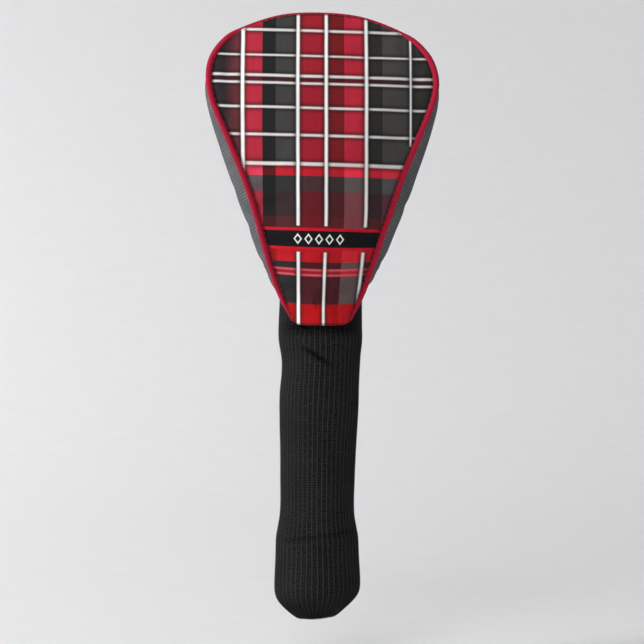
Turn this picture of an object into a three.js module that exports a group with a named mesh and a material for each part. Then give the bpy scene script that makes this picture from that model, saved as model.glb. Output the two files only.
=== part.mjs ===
// Driver head cover: a padded, piped shell for the club head on a knitted sock for the shaft.
//
// Millimetres, +Z up. The origin is the centre of the sock's mouth, where the club goes in.
// The printed panel faces -Y. Front and back are mirror images of each other.
//
// The shell is sewn from a front panel, a back panel and a gusset band that runs from one side of
// the neck over the top to the other. Each is outer cloth, foam and lining. Piping is sewn into
// both seams. The sock is one knitted tube, split here where it bends and where it gathers.

import * as THREE from "three";

// ---- driving dimensions ------------------------------------------------------------------

const GAP = 0.3; // between touching pieces

// Half of the seam between panel and gusset, as [x, depth in front of the middle, z].
const SEAM_HALF = [
  [15.0, 20.6, 168.0],
  [19.6, 16.9, 174.5],
  [22.6, 13.6, 182.0],
  [25.6, 16.4, 191.0],
  [28.5, 20.0, 199.8],
  [35.0, 27.6, 221.6],
  [42.3, 33.4, 243.3],
  [51.0, 37.2, 265.0],
  [59.8, 38.0, 286.9],
  [61.8, 37.2, 298.3],
  [59.6, 35.4, 309.4],
  [51.5, 31.8, 320.0],
  [44.2, 29.6, 324.8],
  [22.0, 26.0, 334.7],
  [0.0, 25.0, 337.5],
];
const HEM_POINT = 0; // index in SEAM_HALF where the panel's hem starts
const NECK_POINT = 2; // index where the gusset ends at the neck
const TOP_CORNER_POINT = 12; // index where the panel's side edge turns into its top edge
const HEM_Z = 164.4; // lowest point of the panel's hem
const HEM_RADIUS = 24.6; // the hem wraps the sock's top
const PANEL_HEIGHT = 173.0;
const TOP_INSET_FACTOR = 1.3; // the top edge slopes, so its inset is larger when taken along Z

// Depth of the panel's middle line, as [z, depth].
const PANEL_MIDDLE = [
  [164.4, 24.6],
  [180.0, 26.6],
  [200.0, 33.0],
  [221.0, 40.6],
  [243.0, 46.0],
  [265.0, 48.6],
  [287.0, 48.2],
  [302.0, 45.6],
  [315.0, 41.0],
  [327.0, 33.8],
  [337.5, 25.0],
];
const FLAT_DEPTH = 47.6; // the panel's middle is flat where it would pass this depth

// How far the gusset bulges past the seams at mid depth, as [share of the way neck to top, bulge].
const GUSSET_BULGE = [
  [0.0, 3.0],
  [0.2, 5.2],
  [0.42, 6.6],
  [0.6, 5.2],
  [0.75, 3.4],
  [0.88, 2.6],
  [1.0, 2.5],
];

const PIPING_RADIUS = 2.0;
const PIPING_COVER_THICKNESS = 0.6;
const PIPING_STEPS = 56;
const PIPING_CORD_RADIUS = PIPING_RADIUS - PIPING_COVER_THICKNESS - GAP;

const CLOTH = 1.0; // thickness of the outer cloth
const FOAM = 3.7;
const LINING = 0.8;
const LAYER_GAP = 0.4;
const FOAM_DEPTH = CLOTH + LAYER_GAP;
const LINING_DEPTH = FOAM_DEPTH + FOAM + LAYER_GAP;
const CLOTH_INSET = PIPING_RADIUS + GAP + 1.1; // edge of the outer cloth to the seam line
const PANEL_INNER_INSET = 9.0; // edge of a panel's foam and lining to the seam line
const GUSSET_CELLS = 44; // along the seam
const GUSSET_CELLS_ACROSS = 5;
const GUSSET_INNER_SKIP = 1; // cells at each end that have no foam or lining
const PANEL_INNER_BOTTOM_Z = 193.0;

// The sock, from the neck down. Its outer radius as [z, radius]: the neck elastic and the cuff's
// fold draw it in, and it is slimmest just above the cuff.
const SOCK_LINE = [
  [52.0, 22.4],
  [66.0, 21.1],
  [97.0, 21.4],
  [123.0, 22.4],
  [150.0, 23.2],
  [190.0, 23.2],
];
const SOCK_ROW = 10.0; // at most this far between rings of the sock's surface
const SOCK_THICKNESS = 2.0;
const SOCK_TOP_Z = 190.0;
const SOCK_TOP_BOTTOM_Z = 163.2;
const NECK_BAND_TOP_Z = 147.2;
const NECK_BAND_BOTTOM_Z = 139.5;
const SOCK_MIDDLE_TOP_Z = 123.5;
const SOCK_MIDDLE_BOTTOM_Z = 97.0;
const CUFF_TOP_Z = 52.0;
const CUFF_RADIUS = 24.4;
const CUFF_PLY = 1.7;
const CUFF_SHOULDER = 5.0; // height of the step from the sock to the cuff
const CUFF_INNER_TOP_Z = 47.0;
const CUFF_END_HEIGHT = 19.0; // vertical half axis of the ellipse that the cuff's end follows
const CUFF_END_STEPS = 6;
const MOUTH_RADIUS = 10.5;
const NECK_BAND_PLY = 1.2;
const ELASTIC_THICKNESS = 1.4;
const TUBE_SIDES = 24;

const COLOURS = {
  print: { color: 0x8c1c2c, roughness: 0.75 },
  black_cloth: { color: 0x1b1c20, roughness: 0.85 },
  piping: { color: 0xb81c3c, roughness: 0.5 },
  filler: { color: 0xd8d4cc, roughness: 0.9 },
  foam: { color: 0x55565a, roughness: 0.95 },
  lining: { color: 0x2a2a2c, roughness: 0.95 },
  knit: { color: 0x141414, roughness: 0.95 },
  elastic: { color: 0x303034, roughness: 0.7 },
};

// ---- helpers -----------------------------------------------------------------------------

const part = new THREE.Group();

function addNode(name, geometry, look) {
  const material = new THREE.MeshStandardMaterial({ ...COLOURS[look], metalness: 0 });
  const mesh = new THREE.Mesh(geometry, material);
  mesh.name = name;
  part.add(mesh);
}

const mix = (a, b, t) => a + (b - a) * t;

// Smooth value at x through [x, y] points, by cubic Hermite pieces.
function profile(points, x) {
  const last = points.length - 1;
  const clamped = Math.min(Math.max(x, points[0][0]), points[last][0]);
  let i = 0;
  while (i < last - 1 && clamped > points[i + 1][0]) {
    i += 1;
  }
  const slope = (k) => {
    const a = points[Math.max(k - 1, 0)];
    const b = points[Math.min(k + 1, last)];
    return (b[1] - a[1]) / (b[0] - a[0]);
  };
  const [x0, y0] = points[i];
  const [x1, y1] = points[i + 1];
  const width = x1 - x0;
  const t = (clamped - x0) / width;
  const t2 = t * t;
  const t3 = t2 * t;
  return (
    y0 * (2 * t3 - 3 * t2 + 1) +
    slope(i) * width * (t3 - 2 * t2 + t) +
    y1 * (3 * t2 - 2 * t3) +
    slope(i + 1) * width * (t3 - t2)
  );
}

// A curve through part of the seam's right half. side is -1 for the front and 1 for the back.
const seamPoint = ([x, depth, z], side, mirror = 1) => new THREE.Vector3(mirror * x, side * depth, z);

function halfSeamCurve(first, last) {
  const points = SEAM_HALF.slice(first, last + 1).map((row) => seamPoint(row, -1));
  return new THREE.CatmullRomCurve3(points, false, "centripetal");
}

function wholeSeamCurve(first, side) {
  const right = SEAM_HALF.slice(first).map((row) => seamPoint(row, side));
  const left = SEAM_HALF.slice(first, -1).map((row) => seamPoint(row, side, -1));
  return new THREE.CatmullRomCurve3([...right, ...left.reverse()], false, "centripetal");
}

// A closed shell between an outer surface and the same surface moved inwards along its normals.
// surface(u, v) gives a point for u and v from 0 to 1, and its normals point along du x dv.
function layerGeometry(surface, uCells, vCells, outerDepth, innerDepth) {
  const step = 1e-3;
  const normalAt = (u, v) => {
    const ua = Math.max(u - step, 0);
    const ub = Math.min(u + step, 1);
    const va = Math.max(v - step, 0);
    const vb = Math.min(v + step, 1);
    const du = surface(ub, v).sub(surface(ua, v));
    const dv = surface(u, vb).sub(surface(u, va));
    return du.cross(dv).normalize();
  };
  const positions = [];
  for (const depth of [outerDepth, innerDepth]) {
    for (let j = 0; j <= vCells; j += 1) {
      for (let i = 0; i <= uCells; i += 1) {
        const u = i / uCells;
        const v = j / vCells;
        const point = surface(u, v).addScaledVector(normalAt(u, v), -depth);
        positions.push(point.x, point.y, point.z);
      }
    }
  }
  const row = uCells + 1;
  const sheet = row * (vCells + 1);
  const outer = (i, j) => j * row + i;
  const inner = (i, j) => sheet + j * row + i;
  const faces = [];
  const quad = (a, b, c, d) => faces.push(a, b, c, a, c, d);
  for (let j = 0; j < vCells; j += 1) {
    for (let i = 0; i < uCells; i += 1) {
      quad(outer(i, j), outer(i + 1, j), outer(i + 1, j + 1), outer(i, j + 1));
      quad(inner(i, j), inner(i, j + 1), inner(i + 1, j + 1), inner(i + 1, j));
    }
  }
  for (let i = 0; i < uCells; i += 1) {
    quad(outer(i, 0), inner(i, 0), inner(i + 1, 0), outer(i + 1, 0));
    quad(outer(i, vCells), outer(i + 1, vCells), inner(i + 1, vCells), inner(i, vCells));
  }
  for (let j = 0; j < vCells; j += 1) {
    quad(outer(0, j), outer(0, j + 1), inner(0, j + 1), inner(0, j));
    quad(outer(uCells, j), inner(uCells, j), inner(uCells, j + 1), outer(uCells, j + 1));
  }
  const geometry = new THREE.BufferGeometry();
  geometry.setAttribute("position", new THREE.Float32BufferAttribute(positions, 3));
  geometry.setIndex(faces);
  return geometry;
}

// ---- shell panels ------------------------------------------------------------------------

const sideEdge = halfSeamCurve(HEM_POINT, TOP_CORNER_POINT);
const topEdge = halfSeamCurve(TOP_CORNER_POINT, SEAM_HALF.length - 1);

// The point of a panel's outline box: a is -1 to 1 across and v is 0 at the hem to 1 at the top.
function panelOutlinePoint(a, v) {
  const side = sideEdge.getPointAt(v);
  const corner = sideEdge.getPointAt(1);
  const hemCorner = sideEdge.getPointAt(0);
  const top = topEdge.getPointAt(1 - Math.abs(a));
  const hemX = Math.abs(a) * hemCorner.x;
  const hemZ = mix(HEM_Z, hemCorner.z, a * a * a * a);
  const across = Math.abs(a);
  const x = across * side.x + v * (top.x - across * corner.x) + (1 - v) * (hemX - across * hemCorner.x);
  const z = side.z + v * (top.z - corner.z) + (1 - v) * (hemZ - hemCorner.z);
  const seamDepth = -side.y + v * (-top.y + corner.y);
  return { x: Math.sign(a) * x, z, seamDepth };
}

// A panel's surface. inset is the distance kept from the seam, bottomZ an optional lower limit.
function panelSurface(side, inset, bottomZ) {
  const startV = bottomZ === undefined ? 0 : shareAtHeight(bottomZ);
  return (u, v) => {
    const height = mix(startV, 1 - (TOP_INSET_FACTOR * inset) / PANEL_HEIGHT, v);
    const tangent = sideEdge.getTangentAt(height);
    const insetAcross = (inset * Math.hypot(tangent.x, tangent.z)) / tangent.z;
    const across = (2 * u - 1) * (1 - insetAcross / sideEdge.getPointAt(height).x);
    const a = side < 0 ? across : -across;
    const { x, z, seamDepth } = panelOutlinePoint(a, height);
    const middle = Math.max(profile(PANEL_MIDDLE, z), seamDepth);
    const crown = 1 - a * a;
    const neckRound = Math.sqrt(Math.max(HEM_RADIUS * HEM_RADIUS - x * x, 0));
    const neckShare = THREE.MathUtils.smoothstep(z, HEM_Z + 4, HEM_Z + 22);
    const domed = mix(seamDepth, middle, crown);
    const depth = Math.min(mix(neckRound, domed, neckShare), FLAT_DEPTH);
    return new THREE.Vector3(x, side * depth, z);
  };
}

function shareAtHeight(z) {
  let low = 0;
  let high = 1;
  for (let i = 0; i < 30; i += 1) {
    const middle = (low + high) / 2;
    if (sideEdge.getPointAt(middle).z < z) {
      low = middle;
    } else {
      high = middle;
    }
  }
  return low;
}

function addPanel(name, side, outerLook) {
  const outer = panelSurface(side, CLOTH_INSET);
  const inner = panelSurface(side, PANEL_INNER_INSET, PANEL_INNER_BOTTOM_Z);
  addNode(`${name}_panel`, layerGeometry(outer, 12, 18, 0, CLOTH), outerLook);
  addNode(`${name}_foam`, layerGeometry(inner, 10, 12, FOAM_DEPTH, FOAM_DEPTH + FOAM), "foam");
  addNode(`${name}_lining`, layerGeometry(inner, 10, 12, LINING_DEPTH, LINING_DEPTH + LINING), "lining");
}

// ---- gusset ------------------------------------------------------------------------------

// The gusset runs along the seam (u) from the right side of the neck, and from back to front (v).
function gussetSurface(inset, start) {
  const seam = wholeSeamCurve(NECK_POINT, -1);
  return (u, v) => {
    const along = mix(start, 1 - start, u);
    const point = seam.getPointAt(along);
    const tangent = seam.getTangentAt(along);
    const outward = new THREE.Vector3(tangent.z, 0, -tangent.x).normalize();
    const neckToTop = 1 - Math.abs(2 * along - 1);
    const reach = 1 - inset / -point.y;
    const across = mix(reach, -reach, v);
    const bulge = profile(GUSSET_BULGE, neckToTop) * (1 - across * across);
    return new THREE.Vector3(
      point.x + outward.x * bulge,
      -point.y * across,
      point.z + outward.z * bulge,
    );
  };
}

function addGusset() {
  const outer = gussetSurface(CLOTH_INSET, 0);
  const inner = gussetSurface(CLOTH_INSET, GUSSET_INNER_SKIP / GUSSET_CELLS);
  const innerCells = GUSSET_CELLS - 2 * GUSSET_INNER_SKIP;
  const layer = (surface, cells, depth, thickness) =>
    layerGeometry(surface, cells, GUSSET_CELLS_ACROSS, depth, depth + thickness);
  addNode("gusset_panel", layer(outer, GUSSET_CELLS, 0, CLOTH), "black_cloth");
  addNode("gusset_foam", layer(inner, innerCells, FOAM_DEPTH, FOAM), "foam");
  addNode("gusset_lining", layer(inner, innerCells, LINING_DEPTH, LINING), "lining");
}

// ---- piping ------------------------------------------------------------------------------

function ringShape(outerRadius, innerRadius) {
  const shape = new THREE.Shape();
  shape.absarc(0, 0, outerRadius, 0, 2 * Math.PI, false);
  if (innerRadius > 0) {
    const hole = new THREE.Path();
    hole.absarc(0, 0, innerRadius, 0, 2 * Math.PI, true);
    shape.holes.push(hole);
  }
  return shape;
}

function addPiping(name, side) {
  const path = wholeSeamCurve(HEM_POINT, side);
  const sweep = (outerRadius, innerRadius, sides) =>
    new THREE.ExtrudeGeometry(ringShape(outerRadius, innerRadius), {
      steps: PIPING_STEPS,
      extrudePath: path,
      bevelEnabled: false,
      curveSegments: sides / 2,
    });
  const coverBore = PIPING_RADIUS - PIPING_COVER_THICKNESS;
  addNode(`${name}_piping_cover`, sweep(PIPING_RADIUS, coverBore, 8), "piping");
  addNode(`${name}_piping_cord`, sweep(PIPING_CORD_RADIUS, 0, 6), "filler");
}

// ---- sock --------------------------------------------------------------------------------

// A tube about Z from a profile of [radius, z] points that closes on itself.
function tubeGeometry(points) {
  const outline = points.map(([radius, z]) => new THREE.Vector2(radius, z));
  outline.push(outline[0].clone());
  return new THREE.LatheGeometry(outline, TUBE_SIDES).rotateX(Math.PI / 2);
}

// A ring of the sock between two heights. depth is measured inwards from the knit's outer face.
function sockRing(bottomZ, topZ, depth = 0, thickness = SOCK_THICKNESS) {
  const rows = Math.ceil((topZ - bottomZ) / SOCK_ROW);
  const outside = [];
  const inside = [];
  for (let i = 0; i <= rows; i += 1) {
    const z = mix(bottomZ, topZ, i / rows);
    const radius = profile(SOCK_LINE, z) - depth;
    outside.push([radius, z]);
    inside.push([radius - thickness, z]);
  }
  return tubeGeometry([...outside, ...inside.reverse()]);
}

function addSock() {
  const elasticDepth = NECK_BAND_PLY + GAP;
  const elasticBottomZ = NECK_BAND_BOTTOM_Z + GAP;
  const elasticTopZ = NECK_BAND_TOP_Z - GAP;
  addNode("sock_top", sockRing(SOCK_TOP_BOTTOM_Z, SOCK_TOP_Z), "knit");
  addNode("neck_knit_upper", sockRing(NECK_BAND_TOP_Z + GAP, SOCK_TOP_BOTTOM_Z - GAP), "knit");
  addNode("neck_band_knit", sockRing(NECK_BAND_BOTTOM_Z, NECK_BAND_TOP_Z, 0, NECK_BAND_PLY), "knit");
  addNode("neck_elastic", sockRing(elasticBottomZ, elasticTopZ, elasticDepth, ELASTIC_THICKNESS), "elastic");
  addNode("neck_knit_lower", sockRing(SOCK_MIDDLE_TOP_Z + GAP, NECK_BAND_BOTTOM_Z - GAP), "knit");
  addNode("sock_middle", sockRing(SOCK_MIDDLE_BOTTOM_Z, SOCK_MIDDLE_TOP_Z), "knit");
  addNode("sock_gather", sockRing(CUFF_TOP_Z + GAP, SOCK_MIDDLE_BOTTOM_Z - GAP), "knit");
}

// The cuff is the sock's end, folded in on itself. It rounds in to the mouth as part of an
// ellipse. depth is measured inwards from the outer ply's outer face.
function cuffLine(depth, mouthRadius, topZ, topRadius) {
  const across = CUFF_RADIUS - depth;
  const down = CUFF_END_HEIGHT - depth;
  const outerMouthAngle = Math.acos(MOUTH_RADIUS / CUFF_RADIUS);
  const centreZ = CUFF_END_HEIGHT * Math.sin(outerMouthAngle);
  const mouthAngle = Math.acos(mouthRadius / across);
  const points = [];
  for (let i = 0; i <= CUFF_END_STEPS; i += 1) {
    const angle = mouthAngle * (1 - i / CUFF_END_STEPS);
    points.push([across * Math.cos(angle), centreZ - down * Math.sin(angle)]);
  }
  points.push([across, topZ - CUFF_SHOULDER]);
  points.push([topRadius, topZ]);
  return points;
}

function cuffPly(depth, mouthRadius, topZ, topRadius) {
  const outside = cuffLine(depth, mouthRadius, topZ, topRadius);
  const inside = cuffLine(depth + CUFF_PLY, mouthRadius, topZ, topRadius - CUFF_PLY);
  return tubeGeometry([...outside, ...inside.reverse()]);
}

function addCuff() {
  const innerDepth = CUFF_PLY + LAYER_GAP;
  const outerTopRadius = profile(SOCK_LINE, CUFF_TOP_Z);
  const innerTopRadius = CUFF_RADIUS - innerDepth;
  addNode("cuff_outer", cuffPly(0, MOUTH_RADIUS, CUFF_TOP_Z, outerTopRadius), "knit");
  addNode("cuff_inner", cuffPly(innerDepth, MOUTH_RADIUS + 1, CUFF_INNER_TOP_Z, innerTopRadius), "knit");
}

// ---- assembly ----------------------------------------------------------------------------

addPanel("front", -1, "print");
addPanel("back", 1, "black_cloth");
addGusset();
addPiping("front", -1);
addPiping("back", 1);
addSock();
addCuff();

export default part;
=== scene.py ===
"""Driver head cover: the looks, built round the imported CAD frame.

The shell is sewn from a printed front panel, a plain back panel and a mesh gusset, each with foam
and lining behind it, and piping in both seams. The sock is one rib-knit tube, cut into four pieces
where it bends and gathers. Lengths here are millimetres, and meshes are made in metres.
"""

from math import cos, pi, sin, tau

import bpy
import numpy as np
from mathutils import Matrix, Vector


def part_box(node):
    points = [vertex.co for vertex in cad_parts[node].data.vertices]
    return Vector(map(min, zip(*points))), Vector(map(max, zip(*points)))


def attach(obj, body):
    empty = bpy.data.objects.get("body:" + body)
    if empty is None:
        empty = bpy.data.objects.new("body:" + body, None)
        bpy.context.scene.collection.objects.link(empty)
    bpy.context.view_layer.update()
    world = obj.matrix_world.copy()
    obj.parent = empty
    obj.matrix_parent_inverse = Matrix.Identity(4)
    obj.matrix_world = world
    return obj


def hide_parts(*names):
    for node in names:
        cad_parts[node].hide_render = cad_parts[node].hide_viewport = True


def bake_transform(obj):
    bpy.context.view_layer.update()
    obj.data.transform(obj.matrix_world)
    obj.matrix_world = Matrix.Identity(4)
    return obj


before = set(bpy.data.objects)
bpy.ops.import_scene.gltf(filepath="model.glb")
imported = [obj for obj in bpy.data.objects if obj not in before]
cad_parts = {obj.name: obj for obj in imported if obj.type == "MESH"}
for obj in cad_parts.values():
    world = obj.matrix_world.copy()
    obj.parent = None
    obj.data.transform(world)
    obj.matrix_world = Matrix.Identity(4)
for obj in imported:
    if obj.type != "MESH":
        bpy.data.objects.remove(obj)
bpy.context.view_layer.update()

MM = 0.001

# ---- driving dimensions ----

# Half of the seam between panel and gusset, from the hem to the middle of the top, as shares of
# the shell: (half width, depth, height above the hem).
SEAM_SHARES = [
    (0.268, 0.391, 0.014), (0.322, 0.339, 0.058), (0.362, 0.286, 0.100),
    (0.410, 0.345, 0.152), (0.456, 0.420, 0.202), (0.560, 0.580, 0.326),
    (0.672, 0.702, 0.450), (0.807, 0.782, 0.573), (0.944, 0.798, 0.698),
    (0.970, 0.782, 0.763), (0.930, 0.744, 0.826), (0.805, 0.668, 0.886),
    (0.692, 0.622, 0.912), (0.345, 0.546, 0.961), (0.000, 0.525, 0.973),
]
NECK_POINT = 2  # in SEAM_SHARES, where the gusset ends at the neck
TOP_CORNER_POINT = 12  # where the panel's side edge turns into its top edge

# Depth of a panel's middle line, as (share of height, share of depth).
PANEL_MIDDLE = [
    (0.000, 0.517), (0.089, 0.559), (0.203, 0.693), (0.323, 0.853), (0.448, 0.966),
    (0.573, 1.021), (0.699, 1.013), (0.784, 0.958), (0.858, 0.861), (0.926, 0.710),
    (0.986, 0.525),
]
NECK_BLEND = (4.0, 22.0)  # height above the hem over which the panel turns from neck to dome
PANEL_HEIGHT = 173.0
TOP_INSET_FACTOR = 1.3  # the top edge slopes, so its inset is larger when taken along Z

# How far the gusset bulges past the seams, as (share of the way from neck to top, bulge).
GUSSET_BULGE = [
    (0.0, 1.0), (0.08, 4.1), (0.2, 5.7), (0.3, 6.9), (0.38, 6.3),
    (0.47, 5.1), (0.55, 3.4), (0.65, 2.4), (0.75, 2.0), (0.88, 1.8),
    (1.0, 1.8),
]

# How far the shell leans to the right, as (z, x).
SHELL_LEAN = [(165, 0.0), (185, -0.2), (212, 0.4), (232, 1.0), (290, 0.8), (309, 0.0), (340, 0.0)]
SHELL_TILT = 0.028  # slope of its top, which is higher on the left

CLOTH = 1.0  # thickness of the outer cloth
FOAM = 3.7
LINING = 0.8
LAYER_GAP = 0.4
CLOTH_INSET = 0.6  # the cloth's edge runs in under the piping
INNER_INSET = 9.0  # edge of a panel's foam and lining to the seam line
GUSSET_INNER_INSET = 3.4
GUSSET_INNER_SKIP = 1 / 44  # share of the gusset without foam at each of its ends
INNER_BOTTOM = 29.0  # foam and lining start this far above the hem
SEAM_GROOVE = 0.7  # depth of the groove that the seam pulls into the cloth
SEAM_GROOVE_WIDTH = 3.2
PUCKER = 0.16
PUCKER_LENGTH = 7.5
SIM_PRESSURE = 2.0
SIM_SLACK = 0.012  # share by which the cloth is larger than the space it is sewn over
SIM_STEPS = 20
SIM_CAP = 1.1  # the cloth simulation moves no point further than this

PIPING_RADIUS = 1.65
PIPING_COVER = 0.5
PIPING_TAPER = 24.0  # length over which a piping thins where it goes under the hem
PIPING_END_SHARE = 0.4  # of its radius, at its very end
PIPING_END_TUCK = 1.6  # how far its end sinks in under the hem
PIPING_TOP_ROLL = 0.75  # how far it rolls back behind the panel's top edge
FILLER_RADIUS = 0.95
FILLER_LAY = 9.0  # length over which its three strands turn once
STITCH_PITCH = 3.4
STITCH_LENGTH = 2.5
THREAD_RADIUS = 0.2
STITCH_OFFSET = 1.75  # from the seam line to the row of stitches

# The sock's outer radius on the crests of its ribs, as (z, radius).
SOCK_LINE = [
    (40.0, 23.3), (46.0, 23.0), (52.0, 21.9), (58.0, 20.9), (66.0, 20.6),
    (80.0, 20.9), (93.0, 21.2), (106.0, 21.8), (120.0, 22.3), (136.0, 22.3),
    (147.0, 22.6), (156.0, 23.5), (165.0, 23.4), (190.0, 22.8),
]
# How far the sock's middle leans to the side, as (z, x).
SOCK_LEAN = [
    (0, -2.9), (20, -2.5), (60, -2.5), (90, -2.1), (125, -1.2),
    (147, -0.5), (165, -0.6), (190, 0),
]
CUFF_OUTLINE = [
    (9.0, 0.6), (10.6, 0.9), (13.4, 2.7), (16.6, 5.4), (19.6, 8.2),
    (22.2, 11.3), (23.7, 14.6), (24.2, 18.6), (24.0, 26.0), (23.5, 34.0),
    (23.3, 40.0),
]
CUFF_TILT = 0.065  # the cuff's end is lower on the left
CUFF_TILT_TOP = 26.0
KNIT_THICKNESS = 1.2
CUFF_PLY = 1.7
ELASTIC_DEPTH = 1.6  # from the knit's crests to the elastic's face
ELASTIC = 1.3
CUFF_INNER_GAP = 2.3  # from the outer ply's face to the inner ply's face
CUFF_INNER_TOP = 47.0
RIBS = 48
COURSE = 1.29  # height of one row of stitches
RIB_COLUMNS = 8  # mesh columns to a rib
COURSE_ROWS = 4  # mesh rows to a course
RIB_HEIGHT = 0.6
STITCH_HEIGHT = 0.2
SOCK_TOP = 186.0
NECK_CUT = 143.5  # the sock's pieces meet at these heights
MIDDLE_CUT = 106.0
CUFF_CUT = 40.0

LOZENGES = 5
LOZENGE_PITCH = 5.9
LOZENGE_HALF = (2.35, 3.0)


# ---- positions from the CAD frame ----


def box_mm(node):
    low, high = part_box(node)
    return np.array(low) / MM, np.array(high) / MM


front_low, _ = box_mm("front_panel")
_, gusset_high = box_mm("gusset_panel")
_, piping_high = box_mm("front_piping_cover")
HEM_Z = front_low[2]
SHELL_HEIGHT = gusset_high[2] - HEM_Z
SHELL_HALF_WIDTH = piping_high[0]
SHELL_DEPTH = -front_low[1]
HEM_RADIUS = PANEL_MIDDLE[0][1] * SHELL_DEPTH


# ---- curves ----


def mix(a, b, t):
    """a where t is 0, and b where it is 1."""
    return a + (b - a) * t


def unit(vectors):
    return vectors / np.linalg.norm(vectors, axis=-1, keepdims=True)


def joined(*parts):
    """Arrays of x, y and so on, as the last axis of one array."""
    return np.stack(np.broadcast_arrays(*parts), axis=-1)


def profile(points, x):
    """Smooth value at x through (x, y) points, by cubic Hermite pieces."""
    table = np.array(points, float)
    xs, ys = table[:, 0], table[:, 1]
    last = len(xs) - 1
    before = np.maximum(np.arange(len(xs)) - 1, 0)
    after = np.minimum(np.arange(len(xs)) + 1, last)
    slopes = (ys[after] - ys[before]) / (xs[after] - xs[before])
    x = np.clip(x, xs[0], xs[-1])
    i = np.clip(np.searchsorted(xs, x) - 1, 0, last - 1)
    width = xs[i + 1] - xs[i]
    t = (x - xs[i]) / width
    rise = ys[i] * (2 * t**3 - 3 * t**2 + 1) + ys[i + 1] * (3 * t**2 - 2 * t**3)
    return rise + width * (slopes[i] * (t**3 - 2 * t**2 + t) + slopes[i + 1] * (t**3 - t**2))


def smoothstep(x, low, high):
    t = np.clip((x - low) / (high - low), 0, 1)
    return t * t * (3 - 2 * t)


def hump(x, middle, width):
    """A smooth bump of height 1."""
    return np.exp(-(((x - middle) / width) ** 2))


class Path:
    """A centripetal Catmull-Rom curve through points, measured by its length."""

    def __init__(self, points, steps=60):
        p = np.array(points, float)
        p = np.vstack([2 * p[0] - p[1], p, 2 * p[-1] - p[-2]])
        t = np.linspace(0, 1, steps, endpoint=False)[:, None]
        pieces = []
        for p0, p1, p2, p3 in zip(p, p[1:], p[2:], p[3:]):
            d0, d1, d2 = (np.linalg.norm(b - a) ** 0.5 for a, b in ((p0, p1), (p1, p2), (p2, p3)))
            m1 = ((p1 - p0) / d0 - (p2 - p0) / (d0 + d1) + (p2 - p1) / d1) * d1
            m2 = ((p2 - p1) / d1 - (p3 - p1) / (d1 + d2) + (p3 - p2) / d2) * d1
            ends = p1 * (2 * t**3 - 3 * t**2 + 1) + p2 * (3 * t**2 - 2 * t**3)
            pieces.append(ends + m1 * (t**3 - 2 * t**2 + t) + m2 * (t**3 - t**2))
        self.points = np.vstack([*pieces, p[-2][None]])
        steps_mm = np.linalg.norm(np.diff(self.points, axis=0), axis=1)
        run = np.concatenate([[0], np.cumsum(steps_mm)])
        self.length = run[-1]
        self.share = run / run[-1]
        self.steps = steps

    def at(self, s):
        return joined(*(np.interp(s, self.share, self.points[:, k]) for k in range(3)))

    def tangent(self, s, reach=2e-3):
        ahead = self.at(np.clip(s + reach, 0, 1)) - self.at(np.clip(s - reach, 0, 1))
        return unit(ahead)

    def inward(self, s):
        """Square to the path, in the plane of x and z."""
        tangent = self.tangent(s)
        return joined(-tangent[:, 2], 0, tangent[:, 0])

    def share_of_point(self, index):
        return self.share[index * self.steps]


def seam_path(first):
    """The front seam from the right of the neck, over the top, to the left of the neck."""
    scale = np.array([SHELL_HALF_WIDTH, -SHELL_DEPTH, SHELL_HEIGHT])
    right = np.array(SEAM_SHARES[first:]) * scale + [0, 0, HEM_Z]
    left = right[-2::-1] * [-1, 1, 1]
    return Path(np.vstack([right, left]))


def leaned(points):
    """Points of the shell, moved by its lean and by the tilt of its top."""
    x, z = points[..., 0], points[..., 2]
    moved = points.copy()
    moved[..., 0] += profile(SHELL_LEAN, z)
    moved[..., 2] -= SHELL_TILT * x * smoothstep(z, 285, 325)
    return moved


SEAM = seam_path(0)
GUSSET_SEAM = seam_path(NECK_POINT)
CORNER_SHARE = SEAM.share_of_point(TOP_CORNER_POINT)


# ---- seeded noise ----


def waves(x, y, wavelengths, seed):
    """Smooth unevenness between about -1 and 1: a few plane waves with seeded directions."""
    pick = np.random.default_rng(seed)
    total = np.zeros(np.broadcast(x, y).shape)
    for wavelength in wavelengths:
        angle, phase = pick.uniform(0, tau, 2)
        k = tau / (wavelength * pick.uniform(0.8, 1.25))
        total += np.sin(k * (x * cos(angle) + y * sin(angle)) + phase)
    return total / len(wavelengths)


# ---- meshes ----


def grid_corners(rows, cols, wrap_rows=False, wrap_cols=False):
    """Row and column of each quad's four corners, counted past the last one where it wraps."""
    r, c = np.meshgrid(
        np.arange(rows if wrap_rows else rows - 1),
        np.arange(cols if wrap_cols else cols - 1),
        indexing="ij",
    )
    r, c = r.ravel(), c.ravel()
    return np.stack([r, r, r + 1, r + 1], axis=1), np.stack([c, c + 1, c + 1, c], axis=1)


def mesh_object(name, points, faces, material, uvs=None):
    """A smooth-shaded object. points are in mm, and uvs holds (faces, corners, 2) per layer."""
    mesh = bpy.data.meshes.new(name)
    mesh.from_pydata((np.asarray(points) * MM).tolist(), [], list(faces))
    for layer_name, values in (uvs or {}).items():
        layer = mesh.uv_layers.new(name=layer_name)
        layer.data.foreach_set("uv", np.asarray(values, np.float32).ravel())
    mesh.polygons.foreach_set("use_smooth", np.ones(len(mesh.polygons), bool))
    if material:
        mesh.materials.append(material)
    mesh.update()
    obj = bpy.data.objects.new(name, mesh)
    bpy.context.scene.collection.objects.link(obj)
    return obj


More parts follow.
